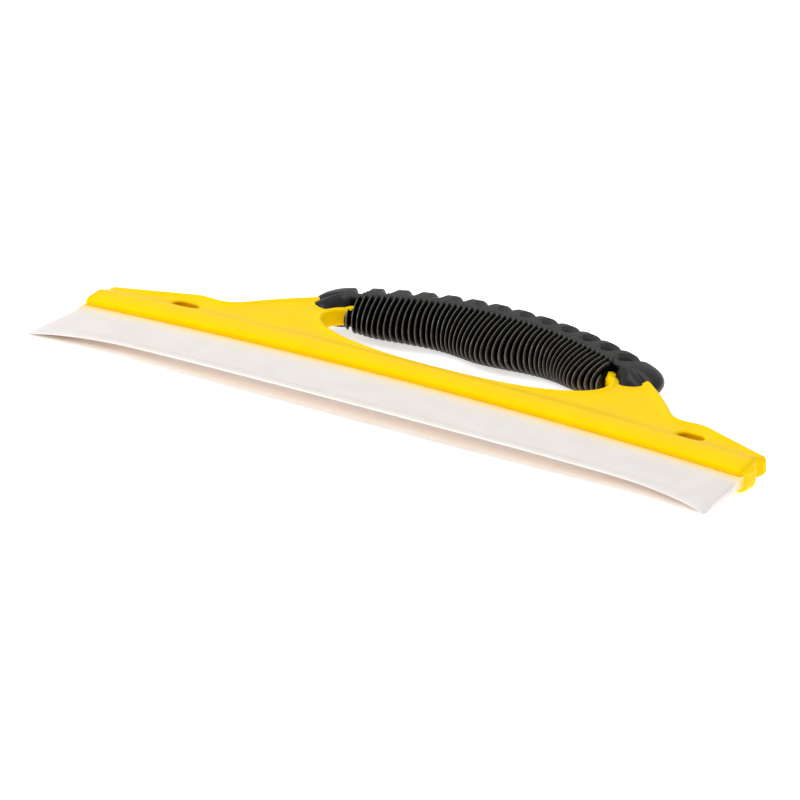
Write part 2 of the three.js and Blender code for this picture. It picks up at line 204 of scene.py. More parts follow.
def inside(points, loop, block=4000):
    """True for the points that lie inside a closed loop."""
    a, b = loop, np.roll(loop, -1, axis=0)
    found = np.empty(len(points), bool)
    for i in range(0, len(points), block):
        x, y = points[i:i + block, :1], points[i:i + block, 1:]
        spans = (a[:, 1] > y) != (b[:, 1] > y)
        rise = np.where(np.abs(b[:, 1] - a[:, 1]) < 1e-9, 1e-9, b[:, 1] - a[:, 1])
        crossing = (b[:, 0] - a[:, 0]) * (y - a[:, 1]) / rise + a[:, 0]
        found[i:i + block] = (spans & (x < crossing)).sum(1) % 2 == 1
    return found


# %% [markdown]
# ## The camera
# The tool is seen from the right of its blade, from a little above, with a long lens, so that lines
# that are parallel on the tool stay nearly parallel in the picture. The camera is placed by two
# angles and a distance from a point on the mid-line, with a small offset for the framing.

# %% Camera
CAMERA_AZIMUTH = math.radians(33.64)
CAMERA_ELEVATION = math.radians(23.39)
CAMERA_DISTANCE = 2615.0             # millimetres, like the rest of the drawing
CAMERA_TARGET = (0.0, 0.0, 3.5)
CAMERA_SIDE_OFFSET = 11.07
CAMERA_UP_OFFSET = 11.48
SENSOR_WIDTH = 36.0
LENS = 314.7

ca, sa = math.cos(CAMERA_AZIMUTH), math.sin(CAMERA_AZIMUTH)
ce, se = math.cos(CAMERA_ELEVATION), math.sin(CAMERA_ELEVATION)
look_right = np.array([ca, sa, 0.0])
look_forward = np.array([-sa * ce, ca * ce, -se])
look_up = np.array([-sa * se, ca * se, ce])
camera_place = (np.array(CAMERA_TARGET) - CAMERA_DISTANCE * look_forward
                - CAMERA_SIDE_OFFSET * look_right - CAMERA_UP_OFFSET * look_up)

camera_data = bpy.data.cameras.new("camera")
camera_data.sensor_width = SENSOR_WIDTH
camera_data.lens = LENS
camera_data.clip_start = 0.05
camera_data.clip_end = 50.0
camera = bpy.data.objects.new("camera", camera_data)
bpy.context.scene.collection.objects.link(camera)
camera.location = placed(camera_place)
camera.rotation_mode = "QUATERNION"
camera.rotation_quaternion = Vector(look_forward).to_track_quat("-Z", "Y")
bpy.context.scene.camera = camera
print("camera at", [round(v, 3) for v in camera.location])

# %% [markdown]
# ## Finishes
# A finish is a small graph of nodes round one Principled shader. Each one here reads the place on the
# object itself, in metres, so that its grain has a real size and stays put when the tool moves.

# %% Helpers for finishes
def new_finish(name):
    """A material with a Principled shader, and the nodes and links to build round it."""
    material = bpy.data.materials.new(name)
    material.use_nodes = True
    nodes, links = material.node_tree.nodes, material.node_tree.links
    shader = next(n for n in nodes if n.type == "BSDF_PRINCIPLED")
    return material, nodes, links, shader


def grain(nodes, links, size_mm, detail=2.0, stretch=(1, 1, 1)):
    """A noise whose lumps are about this many millimetres across."""
    place = nodes.new("ShaderNodeTexCoord")
    mapping = nodes.new("ShaderNodeMapping")
    mapping.inputs["Scale"].default_value = [s / (size_mm * MM) for s in stretch]
    noise = nodes.new("ShaderNodeTexNoise")
    noise.inputs["Scale"].default_value = 1.0
    noise.inputs["Detail"].default_value = detail
    links.new(place.outputs["Object"], mapping.inputs["Vector"])
    links.new(mapping.outputs["Vector"], noise.inputs["Vector"])
    return noise.outputs["Fac"]


def spread(nodes, links, value, low, high, start=0.3, end=0.7):
    """Turns a noise or a stored number into a range of numbers."""
    node = nodes.new("ShaderNodeMapRange")
    node.inputs["From Min"].default_value = start
    node.inputs["From Max"].default_value = end
    node.inputs["To Min"].default_value = low
    node.inputs["To Max"].default_value = high
    links.new(value, node.inputs["Value"])
    return node.outputs["Result"]


def colours(nodes, links, value, stops):
    """Turns a number into a colour, by (place, colour) stops."""
    ramp = nodes.new("ShaderNodeValToRGB")
    elements = ramp.color_ramp.elements
    while len(elements) < len(stops):
        elements.new(0.5)
    for element, (place, colour) in zip(elements, stops):
        element.position = place
        element.color = (*colour, 1.0)
    links.new(value, ramp.inputs["Fac"])
    return ramp.outputs["Color"]


def mixed(nodes, links, share, first, second):
    """A mix of two colours by a share, which is a socket."""
    node = nodes.new("ShaderNodeMix")
    node.data_type = "RGBA"
    links.new(share, node.inputs[0])
    links.new(first, node.inputs[6])
    links.new(second, node.inputs[7])
    return node.outputs[2]


def relief(nodes, links, shader, height, depth_mm, strength, under=None):
    """Gives the surface a fine relief, on top of an earlier one if there is one."""
    bump = nodes.new("ShaderNodeBump")
    bump.inputs["Distance"].default_value = depth_mm * MM
    bump.inputs["Strength"].default_value = strength
    links.new(height, bump.inputs["Height"])
    if under is not None:
        links.new(under, bump.inputs["Normal"])
    links.new(bump.outputs["Normal"], shader.inputs["Normal"])
    return bump.outputs["Normal"]


def stored(nodes, name):
    node = nodes.new("ShaderNodeAttribute")
    node.attribute_name = name
    return node.outputs["Fac"]


# %% [markdown]
# ### Yellow plastic
# The frame is moulded in a bright, opaque yellow plastic with a lightly etched skin. The colour is
# even, with a faint cloudiness from the pigment; the skin scatters highlights a little, and a few
# flow marks run lengthwise. A fine bump and a slow change of roughness show that skin at close range.
# A stored number paints shade onto the walls of the hanging slots, where little light comes, by deepening
# the colour there.

# %% Yellow plastic
def yellow_plastic():
    material, nodes, links, shader = new_finish("yellow_plastic")
    cloud = grain(nodes, links, 14.0)
    skin = grain(nodes, links, 0.28, detail=3.0)
    flow = grain(nodes, links, 1.1, stretch=(0.06, 1, 1))
    base = colours(nodes, links, cloud, [(0.3, (1.0, 0.63, 0.0)), (0.7, (1.0, 0.67, 0.0))])
    # painted shade: a deeper yellow for the walls of the hanging slots
    deep = colours(nodes, links, cloud, [(0.3, (0.50, 0.24, 0.0)), (0.7, (0.56, 0.28, 0.0))])
    links.new(mixed(nodes, links, stored(nodes, "slot_wall_shade"), base, deep), shader.inputs["Base Color"])
    links.new(spread(nodes, links, cloud, 0.36, 0.46), shader.inputs["Roughness"])
    under = relief(nodes, links, shader, flow, 0.03, 0.10)
    relief(nodes, links, shader, skin, 0.02, 0.25, under)
    shader.inputs["IOR"].default_value = 1.5
    shader.inputs["Specular IOR Level"].default_value = 0.13
    shader.inputs["Specular Tint"].default_value = (1.0, 0.8, 0.05, 1.0)
    shader.inputs["Subsurface Weight"].default_value = 0.08
    shader.inputs["Subsurface Radius"].default_value = (1.0, 0.5, 0.05)
    shader.inputs["Subsurface Scale"].default_value = 1.0 * MM
    return material


YELLOW = yellow_plastic()

# %% [markdown]
# ### Silicone
# The blade is milky silicone: light goes in, scatters and comes out softly, so that shadows on it are
# pale and warm, and some of the frame's yellow shines through next to the holder. Subsurface
# scattering gives the milkiness. The yellow near the holder is painted light, and the darker, warmer
# white between the lips is painted shade. Both are painted into the colour by two numbers that the
# blade's mesh stores on its points.

# %% Silicone
def milky_silicone():
    material, nodes, links, shader = new_finish("milky_silicone")
    cloud = grain(nodes, links, 9.0)
    wipe = grain(nodes, links, 0.9, stretch=(1, 0.08, 1))
    milk = colours(nodes, links, cloud, [(0.3, (0.775, 0.74, 0.715)), (0.7, (0.805, 0.775, 0.755))])
    # painted light: the frame's yellow, which shines through the silicone, is painted into the colour next
    # to the holder
    glow = colours(nodes, links, stored(nodes, "from_holder"), [
        (0.0, (0.95, 0.62, 0.06)), (0.10, (0.93, 0.72, 0.28)),
        (0.25, (0.86, 0.77, 0.60)), (0.55, (0.79, 0.755, 0.73))])
    near = spread(nodes, links, stored(nodes, "from_holder"), 1.0, 0.0, 0.0, 0.6)
    # painted shade: the hollow between the lips is painted a darker, warmer white
    hollow_shade_colour = colours(nodes, links, stored(nodes, "hollow_shade"), [
        (0.0, (0.76, 0.71, 0.67)), (1.0, (0.70, 0.62, 0.56))])
    skin = mixed(nodes, links, near, milk, glow)
    links.new(mixed(nodes, links, stored(nodes, "hollow_shade"), skin, hollow_shade_colour), shader.inputs["Base Color"])
    links.new(spread(nodes, links, cloud, 0.34, 0.46), shader.inputs["Roughness"])
    relief(nodes, links, shader, wipe, 0.02, 0.12)
    shader.inputs["IOR"].default_value = 1.41
    shader.inputs["Subsurface Weight"].default_value = 0.55
    shader.inputs["Subsurface Radius"].default_value = (1.0, 0.75, 0.55)
    shader.inputs["Subsurface Scale"].default_value = 2.2 * MM
    return material


SILICONE = milky_silicone()

# %% [markdown]
# ### Black rubber
# The grip is soft black rubber. Its smooth ends are satin, and its back is dull and slightly mottled from
# the etched mould. The back is also painted lighter, partly for that dull finish and partly as painted
# light, where light falls on the grip's top. The ribs' outer edges carry a painted highlight, where the
# light catches them. Three stored numbers steer the colour and the shine: one for the back, one for
# the painted highlight on the ribs' edges, and one for the painted shade in the dark places, which are
# the gaps between the ribs and the scoops.

# %% Black rubber
def black_rubber():
    material, nodes, links, shader = new_finish("black_rubber")
    mottle = grain(nodes, links, 1.6, detail=4.0)
    pores = grain(nodes, links, 0.22, detail=3.0)
    satin = colours(nodes, links, mottle, [(0.3, (0.004, 0.004, 0.004)), (0.7, (0.007, 0.006, 0.006))])
    # partly painted light: the dull back is painted lighter, partly for its etched finish and partly for the
    # light falling on the grip's top
    dull = colours(nodes, links, mottle, [(0.3, (0.024, 0.022, 0.021)), (0.7, (0.042, 0.039, 0.036))])
    # painted highlight: the ribs' outer edges are painted lighter, where the light catches them
    rib_highlight = colours(nodes, links, mottle, [(0.3, (0.085, 0.078, 0.072)), (0.7, (0.15, 0.14, 0.13))])
    back = mixed(nodes, links, stored(nodes, "on_back"), satin, dull)
    ribs = mixed(nodes, links, stored(nodes, "rib_edge_highlight"), back, rib_highlight)
    # painted shade: the gaps between the ribs and the scoops are painted near black
    black = colours(nodes, links, mottle, [(0.3, (0.001, 0.001, 0.001)), (0.7, (0.002, 0.002, 0.002))])
    links.new(mixed(nodes, links, stored(nodes, "gap_and_scoop_shade"), ribs, black), shader.inputs["Base Color"])
    # the painted shade also takes most of the shine out of the gaps and scoops
    links.new(spread(nodes, links, stored(nodes, "gap_and_scoop_shade"), 0.35, 0.03, 0.0, 1.0),
              shader.inputs["Specular IOR Level"])
    links.new(spread(nodes, links, stored(nodes, "on_back"), 0.36, 0.60, 0.0, 1.0),
              shader.inputs["Roughness"])
    under = relief(nodes, links, shader, mottle, 0.08, 0.25)
    relief(nodes, links, shader, pores, 0.03, 0.35, under)
    shader.inputs["IOR"].default_value = 1.5
    return material


RUBBER = black_rubber()

# %% [markdown]
# ## The yellow frame
# The frame is one moulding: a rounded bar along the front that holds the blade, two flat wings with
# hanging slots, two arms that rise to the grip, and a soft rim round the edges. It could be cut from
# primitives, but its charm is in the soft change from bar to web to rim. So it is made as a relief:
# the plan outline is filled with triangles, and one formula lifts every point to the height of the
# bar, the web or the rim there, with all edges rounded. The underside is the same relief mirrored.

# %% The plan: outline, opening and slots
HOLDER_HALF = 144.9                  # half the bar's length, without the end caps
FULL_HALF = 147.5                    # with them
BAR_FRONT_Y = -17.8                  # the bar's front edge at its ends
FRONT_BOW = 6.3                      # its middle lies this far behind
BAR_DEPTH = 13.2
GRIP_BOW_RADIUS = 193.7
GRIP_AXIS_Y = 48.5
GRIP_CENTRE_Y = GRIP_AXIS_Y - GRIP_BOW_RADIUS
CORE_HALF = 6.0                      # the plastic core inside the rubber
ARM_SHOULDER_X = 67.0
WING_END_X = 147.0
OPENING_MOUTH_X = 57.4               # the rims of the finger opening end here
SLOT_PLACE = (113.0, 1.9)
SLOT_LENGTH, SLOT_WIDTH = 11.0, 6.4


def bow(x):
    """How far the bar's front edge lies behind its ends, along the bar."""
    return FRONT_BOW * (1 - clamp01(np.abs(x) / FULL_HALF) ** 2)


def on_bow(x, behind):
    """A point that follows the grip's bowed axis, a distance behind it."""
    radius = GRIP_BOW_RADIUS + behind
    return np.array([x, GRIP_CENTRE_Y + math.sqrt(radius ** 2 - x ** 2)])


core_back = np.array([on_bow(x, CORE_HALF) for x in np.linspace(0, ARM_SHOULDER_X * 0.9, 30)])
arm_and_wing = rounded_corners([
    (*core_back[-1], 0), (*on_bow(ARM_SHOULDER_X, CORE_HALF), 6), (86.0, 27.0, 8),
    (100.3, 12.2, 6), (112.4, 13.4, 3.5), (WING_END_X - 0.6, 0.8, 1.4), (WING_END_X, -1.0, 0.8),
    (HOLDER_HALF, BAR_FRONT_Y + BAR_DEPTH + 0.4, 0.5)])
EDGE_SPACING = 1.3
half_outline = evenly(np.concatenate([core_back[:-1], arm_and_wing]), EDGE_SPACING)
rim_line = np.concatenate([half_outline[::-1] * MIRRORED, half_outline[1:]])

opening_front = curve_through([
    (0, 3.2), (16, 3.9), (32, 6.3), (45, 9.4), (55, 13.6), (61, 18.6), (63, 24), (61.3, 28.8),
    (OPENING_MOUTH_X, 31.4)])
opening_back = np.array([on_bow(x, -CORE_HALF) for x in np.linspace(OPENING_MOUTH_X, 0, 40)])
opening = both_halves(evenly(np.concatenate([opening_front, opening_back]), EDGE_SPACING))


def hanging_slot(side, steps=14):
    radius = SLOT_WIDTH / 2
    reach = SLOT_LENGTH / 2 - radius
    turn = np.linspace(-math.pi / 2, math.pi / 2, steps)
    cap = np.stack([reach + radius * np.cos(turn), radius * np.sin(turn)], axis=1)
    flat = np.linspace(reach, -reach, 6)[1:-1, None] * np.array([1.0, 0.0])
    loop = np.concatenate([cap, flat + [0, radius], -cap, -flat - [0, radius]])
    return loop + np.array([side * SLOT_PLACE[0], SLOT_PLACE[1]])


slots = [hanging_slot(-1), hanging_slot(1)]
print("outline", len(rim_line), "points, opening", len(opening), "slots", [len(s) for s in slots])

# %% The height of the upper side
WEB_HEIGHT = 2.5
RIM_RISE = 1.0
RIM_WIDTH, RIM_SLOPE = 1.6, 2.2      # the rim's flat top, and its slope down to the web
BAR_FACE = 3.4                       # height of the bar's front face, above the mid-plane
SHOULDER_HEIGHT = 4.75               # height of the bar's top where it meets that face
SHOULDER_ROUND = 2.0                 # rounding of the bar's front shoulder
BAR_CROWN = 5.6
CROWN_AT = 9.0                       # the crown lies this far behind the front edge
FOOT_START, FOOT_END = 7.2, 20.0     # the bar's back slope down to the web
FOOT_SINK = 0.3                      # the slope ends this far under the web's surface
BAR_FILLET = 2.2                     # width over which the crease between bar and web is filled
RIM_ROUND, SLOT_ROUND, BAR_END_ROUND = 1.5, 1.5, 0.1
GATE_MARK = (125.2, 1.0)             # where the plastic entered the mould
GATE_RADIUS, GATE_DEPTH = 0.8, 0.35


def bar_height(behind):
    """The bar's half-thickness, a distance behind its front edge."""
    rise = BAR_CROWN - (BAR_CROWN - SHOULDER_HEIGHT) * (1 - clamp01(behind / CROWN_AT)) ** 2
    nose = 1 - clamp01(behind / SHOULDER_ROUND)
    front = rise - (SHOULDER_HEIGHT - BAR_FACE) * (1 - np.sqrt(np.maximum(0, 1 - nose ** 2)))
    foot = smooth((behind - FOOT_START) / (FOOT_END - FOOT_START))
    return front * (1 - foot) + (WEB_HEIGHT - FOOT_SINK) * foot


def rounded_off(edge_distance, radius):
    """How much a rounded edge takes off the height, near that edge."""
    left = 1 - clamp01(edge_distance / radius)
    return radius * (1 - np.sqrt(1 - left ** 2))


def behind_front(points):
    """How far drawn points lie behind the bar's front edge."""
    return points[:, 1] - BAR_FRONT_Y - bow(points[:, 0])


def to_slots(points):
    """Distance from each point to the nearer hanging slot."""
    return np.minimum(*[to_loop(points, s) for s in slots])


def frame_height(points):
    to_rim = to_line(points, rim_line)
    to_opening = to_loop(points, opening)
    rim = RIM_RISE * (1 - smooth((np.minimum(to_rim, to_opening) - RIM_WIDTH) / RIM_SLOPE))
    behind = behind_front(points)
    height = soft_max(WEB_HEIGHT + rim, bar_height(behind), BAR_FILLET)
    height -= rounded_off(to_rim, RIM_ROUND) + rounded_off(to_opening, RIM_ROUND)
    height -= rounded_off(to_slots(points), SLOT_ROUND)
    height -= rounded_off(HOLDER_HALF - np.abs(points[:, 0]), BAR_END_ROUND) * (behind < BAR_DEPTH)
    gate = np.hypot(points[:, 0] - GATE_MARK[0], points[:, 1] - GATE_MARK[1])
    return height - GATE_DEPTH * np.exp(-(gate / GATE_RADIUS) ** 2)


# %% The points that the plan is filled with
front_x = np.linspace(-HOLDER_HALF, HOLDER_HALF, 181)
front_line = np.stack([front_x, BAR_FRONT_Y + bow(front_x)], axis=1)
BAR_ROWS = np.array([0.08, 0.25, 0.55, 0.95, 1.4, 2.3, 3.6, 5.2, 7.0, 8.6, 10.0, 11.0, 12.0, 13.0,
                     14.0, 15.0, 16.0, 17.1, 18.3])
end_rows = BAR_ROWS[BAR_ROWS < BAR_DEPTH]
bow_at_end = float(bow(np.array([HOLDER_HALF]))[0])
right_end = np.stack([np.full(len(end_rows), HOLDER_HALF), BAR_FRONT_Y + bow_at_end + end_rows], axis=1)
left_end = right_end[::-1] * MIRRORED
outline = np.concatenate([front_line, right_end, rim_line[::-1], left_end])
FRONT_COUNT = len(front_line)
EDGE_OFFSETS = (0.03, 0.14, 0.34, 0.66, 1.1, 1.7, 2.3, 2.9, 3.5, 4.1)
SLOT_OFFSETS = EDGE_OFFSETS[:6]
ROW_KEPT = 0.97                      # a point stays if no line is nearer than this share of its offset
GRID_X, GRID_Y, GRID_STEP = (-144, 145), (-2, 46), 2.2
GRID_GAP = 0.5                       # the grid stays this far off the last row beside an edge
BAR_GAP = 1.0                        # and this far behind the bar's last row
GATE_RINGS, GATE_SIDES = (0.3, 0.7, 1.1, 1.6), 12


def sideways(run):
    """Steps of length 1, square to each step of a line."""
    return np.stack([run[:, 1], -run[:, 0]], axis=1) / np.linalg.norm(run, axis=1)[:, None]


def beside(line, closed, offsets):
    """Rows of points beside a line, at each offset, on both of its sides."""
    before = np.roll(line, 1, axis=0) if closed else np.concatenate([line[:1], line[:-1]])
    after = np.roll(line, -1, axis=0) if closed else np.concatenate([line[1:], line[-1:]])
    out = sideways(after - before)
    return [(line + side * d * out, d) for d in offsets for side in (-1, 1)]


def plan_points():
    edges = [(rim_line, False, EDGE_OFFSETS), (opening, True, EDGE_OFFSETS)]
    edges += [(s, True, SLOT_OFFSETS) for s in slots]
    kept = []
    for line, closed, offsets in edges:
        for row, offset in beside(line, closed, offsets):
            nearest = to_loop(row, line) if closed else to_line(row, line)
            kept.append(row[nearest > offset * ROW_KEPT])
    rows = [np.stack([front_x[1:-1], BAR_FRONT_Y + bow(front_x[1:-1]) + v], axis=1) for v in BAR_ROWS]
    grid = np.stack(np.meshgrid(np.arange(*GRID_X, GRID_STEP), np.arange(*GRID_Y, GRID_STEP)), axis=2)
    angles = np.linspace(0, 2 * math.pi, GATE_SIDES, endpoint=False)
    ring = np.stack([np.cos(angles), np.sin(angles)], axis=1)
    gate = [ring * r + np.array(GATE_MARK) for r in GATE_RINGS]
    fill = np.concatenate(rows + [grid.reshape(-1, 2)] + gate)
    clear = np.minimum(to_line(fill, rim_line), to_loop(fill, opening)) > EDGE_OFFSETS[-1] + GRID_GAP
    clear &= to_slots(fill) > SLOT_OFFSETS[-1] + GRID_GAP
    is_row = np.arange(len(fill)) < len(rows) * (len(front_x) - 2)
    clear &= is_row | (behind_front(fill) > BAR_ROWS[-1] + BAR_GAP)
    return np.concatenate(kept + [fill[clear]])


# %% Fill the plan
CLOSEST = 0.9 * EDGE_OFFSETS[0]      # extra points nearer to an edge than this are left out
SAME_POINT = 1e-5                    # points closer together than this are one point


def material_at(points):
    """True where the plan is plastic, and not opening, slot or outside."""
    solid = inside(points, outline) & ~inside(points, opening)
    for s in slots:
        solid &= ~inside(points, s)
    return solid


def filled_plan():
    loops = [outline, opening, *slots]
    corners = np.concatenate(loops)
    edges, first = [], 0
    for loop in loops:
        edges += [(first + i, first + (i + 1) % len(loop)) for i in range(len(loop))]
        first += len(loop)
    extra = plan_points()
    extra = extra[material_at(extra)]
    near_edge = np.minimum(to_loop(extra, outline), to_loop(extra, opening))
    extra = extra[near_edge > CLOSEST]
    every = np.concatenate([corners, extra])
    made = delaunay_2d_cdt([Vector(p) for p in every], edges, [], 0, SAME_POINT)
    points = np.array([tuple(p) for p in made[0]])
    triangles = np.array(made[2])
    triangles = triangles[material_at(points[triangles].mean(1))]
    where = {}
    for new, olds in enumerate(made[3]):
        for old in olds:
            where[old] = new
    rings, first = [], 0
    for loop in loops:
        rings.append([where[first + i] for i in range(len(loop))])
        first += len(loop)
    return points, triangles, rings


plan, plan_triangles, plan_rings = filled_plan()
print("the plan has", len(plan), "points and", len(plan_triangles), "triangles")

# %% [markdown]
# The edge of the relief is closed by a wall between the upper and the lower side. Along the front the
# wall is open in its middle: there the slot runs in that holds the blade.

# %% Walls, blade slot and the finished frame
SLOT_HALF_HEIGHT = 2.25              # the slot in the bar's front, which the blade fills
SLOT_DEEP = 6.0
SILL_SHARE = 0.8                     # where the wall is lower than that slot, its sill is this share of it


def frame_mesh():
    height = frame_height(plan)
    count = len(plan)
    points = [np.column_stack([plan, height]), np.column_stack([plan, -height])]
    a, b, c = plan_triangles.T
    turn = np.cross(plan[b] - plan[a], plan[c] - plan[a]) < 0
    upper = np.where(turn[:, None], plan_triangles[:, ::-1], plan_triangles)
    faces = [tuple(f) for f in upper] + [tuple(f[::-1] + count) for f in upper]
    total = 2 * count
    for ring_number, ring in enumerate(plan_rings):
        ring = np.array(ring)
        sill = np.minimum(SLOT_HALF_HEIGHT, SILL_SHARE * height[ring])
        points.append(np.column_stack([plan[ring], sill]))
        points.append(np.column_stack([plan[ring], -sill]))
        high, low = total, total + len(ring)
        total += 2 * len(ring)
        is_outline = ring_number == 0
        if is_outline:
            deep = plan[ring[:FRONT_COUNT]] + np.array([0.0, SLOT_DEEP])
            points.append(np.column_stack([deep, sill[:FRONT_COUNT]]))
            points.append(np.column_stack([deep, -sill[:FRONT_COUNT]]))
            deep_high, deep_low = total, total + FRONT_COUNT
            total += 2 * FRONT_COUNT
        for i in range(len(ring)):
            j = (i + 1) % len(ring)
            top_i, top_j = ring[i], ring[j]
            faces.append((top_j, top_i, high + i, high + j))
            faces.append((low + j, low + i, top_i + count, top_j + count))
            if is_outline and j < FRONT_COUNT and j > 0:
                faces.append((high + j, high + i, deep_high + i, deep_high + j))
                faces.append((deep_high + j, deep_high + i, deep_low + i, deep_low + j))
                faces.append((deep_low + j, deep_low + i, low + i, low + j))
            else:
                faces.append((high + j, high + i, low + i, low + j))
        if is_outline:
            last = FRONT_COUNT - 1
            faces.append((high, low, deep_low, deep_high))
            faces.append((low + last, high + last, deep_high + last, deep_low + last))
    return np.concatenate(points), faces


def faces_out(piece):
    """Turns all faces outwards, whatever way round they were drawn."""
    work = bmesh.new()
    work.from_mesh(piece.data)
    bmesh.ops.recalc_face_normals(work, faces=work.faces)
    open_edges = sum(1 for e in work.edges if not e.is_manifold)
    work.to_mesh(piece.data)
    work.free()
    print(piece.name, "has", open_edges, "open edges")


SHADE_REACH, SHADE_FADE = 0.8, 0.5   # how far from a slot its shade ends, and over what width
SHADE_TOP, SHADE_TOP_FADE = 2.6, 0.8  # the same for the height above the mid-plane


def slot_shade_share(piece):
    """How much painted shade the walls of the hanging slots get: 1 there, where little light comes, and 0
    elsewhere.
    """
    p = drawn_places(piece)
    near = smooth((SHADE_REACH - to_slots(p[:, :2])) / SHADE_FADE)
    return near * smooth((SHADE_TOP - np.abs(p[:, 2])) / SHADE_TOP_FADE)


yellow_frame = new_piece("yellow_frame", *frame_mesh(), sharp_degrees=50)
faces_out(yellow_frame)
point_value(yellow_frame, "slot_wall_shade", slot_shade_share(yellow_frame))
yellow_frame.data.materials.append(YELLOW)
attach(yellow_frame, "handle")
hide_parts("frame")

# %% [markdown]
# ## The end caps
# A small cap closes each end of the bar and keeps the blade from sliding out. Its outline is the
# bar's own section, and its outer face is softly domed. It is drawn as rings: each ring is the
# section, drawn in a little more as it moves outwards, so that the edge is a true quarter-round.

# %% End caps
CAP_GAP = 0.08                       # between the bar's end and the cap
CAP_START = HOLDER_HALF + CAP_GAP
CAP_ROUND = 2.3
CAP_DOME, CAP_DOME_RUN = 0.5, 1.8    # the face's dome, and how far in from its edge it rises
CAP_BACK_ROUND = 4.6                 # the cap's back corner, which leaves a V-groove to the wing
CAP_BACK = 12.6                      # depth of the cap, front to back
CAP_EDGE_ROUND = 4.0                 # rounding of the section towards its back edge
THINNEST = 0.02                      # keeps that edge from closing to a line


def cap_section(steps=22):
    """Half of the bar's section from the front edge to the back, then mirrored below."""
    behind = CAP_BACK * (1 - np.cos(np.linspace(0, math.pi, steps))) / 2
    half = bar_height(np.minimum(behind, FOOT_START))
    back_round = clamp01((behind - (CAP_BACK - CAP_EDGE_ROUND)) / CAP_EDGE_ROUND)
    half = half * np.sqrt(np.maximum(THINNEST, 1 - back_round ** 2))
    upper = np.column_stack([behind, half])
    return np.concatenate([upper, upper[::-1] * np.array([1.0, -1.0])])


def tube_faces(rings, around):
    """Four-sided faces between rings of points, and a face over each end."""
    faces = []
    for r in range(rings - 1):
        for i in range(around):
            j = (i + 1) % around
            faces.append((r * around + i, r * around + j, (r + 1) * around + j, (r + 1) * around + i))
    faces.append(tuple(range(around)))
    faces.append(tuple((rings - 1) * around + i for i in reversed(range(around))))
    return faces


DOME_STEPS = (0.3, 0.6, 1.0)
SMALLEST_RING = 0.1                  # no ring shrinks below this share of the section
LEAST_REACH = 0.01                   # the back corner keeps this much of its reach, squared


def cap_mesh(side):
    section = cap_section()
    middle = np.array([CAP_BACK / 2, 0.0])
    reach = FULL_HALF - CAP_START
    turns = np.linspace(0, math.pi / 2, 9)
    edge = reach - CAP_DOME
    rings = [(0.0, 0.0)] + [(edge * math.sin(t), CAP_ROUND * (1 - math.cos(t))) for t in turns[1:]]
    rings += [(edge + CAP_DOME * (1 - (1 - k) ** 2), CAP_ROUND + CAP_DOME_RUN * k) for k in DOME_STEPS]
    points = []
    size = np.linalg.norm(section - middle, axis=1)[:, None]
    for out, inset in rings:
        drawn = middle + (section - middle) * np.maximum(SMALLEST_RING, 1 - inset / size)
        back = clamp01((drawn[:, 0] - CAP_BACK + CAP_BACK_ROUND) / CAP_BACK_ROUND)
        x = side * (CAP_START + out * np.sqrt(np.maximum(LEAST_REACH, 1 - back ** 2)))
        points.append(np.column_stack([x, BAR_FRONT_Y + bow_at_end + drawn[:, 0], drawn[:, 1]]))
    return np.concatenate(points), tube_faces(len(rings), len(section))


for side, word in ((-1, "left"), (1, "right")):
    cap = new_piece(f"bar_end_cap_{word}", *cap_mesh(side))
    faces_out(cap)
    # the caps have no slots, so they get no painted shade
    point_value(cap, "slot_wall_shade", np.zeros(len(cap.data.vertices)))
    cap.data.materials.append(YELLOW)
    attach(cap, "handle")
    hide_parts(f"end_cap_{word}")

# %% [markdown]
# ## The silicone blade
# The blade is a strip that thins from the holder to a waist and then opens into two lips with a
# hollow between them. Towards the corners the lips draw together and reach forward. One section is
# drawn once, as a closed loop, and carried along the blade; two formulas move the edge and close
# the lips. Its root stays in the holder and its lips follow the blade's own body, so that it bends
# in between as the real one does.

# %% The blade's section and its way along the holder
WEB_LENGTH, BLADE_LENGTH = 293.8, 300.0
LIP_Y = -49.4
WEB_HALF, WAIST_HALF, LIP_HALF = 2.2, 1.55, 3.6
LIP_EDGE = 0.5                       # thickness of each lip
TIP_BULGE = 0.3                      # each lip's edge bulges this much
FLARE, FLARE_POWER = 8.5, 1.25       # the lips open over this length, slowly at first
HOLLOW_DEEP, HOLLOW_POWER = 5.0, 1.7
STRAIGHT_SHARE = 0.7
CORNER_REACH = 6.8
LIP_POWER = 2.5
LIP_SHARE_AT_CORNER = 0.12
ROOT_IN_HOLDER = 5.5
END_ROUND = 6.0                      # the blade's ends thin out over this length
END_THIN = 0.45                      # share of the thickness left at the very end


def edge_setback(x):
    """How far the lips' edge lies behind the blade's corners."""
    past = clamp01((np.abs(x) / (BLADE_LENGTH / 2) - STRAIGHT_SHARE) / (1 - STRAIGHT_SHARE))
    return CORNER_REACH * (1 - past ** 2)


def lip_share(x):
    out = clamp01(np.abs(x) / (BLADE_LENGTH / 2))
    return np.maximum(LIP_SHARE_AT_CORNER, np.sqrt(1 - out ** LIP_POWER))


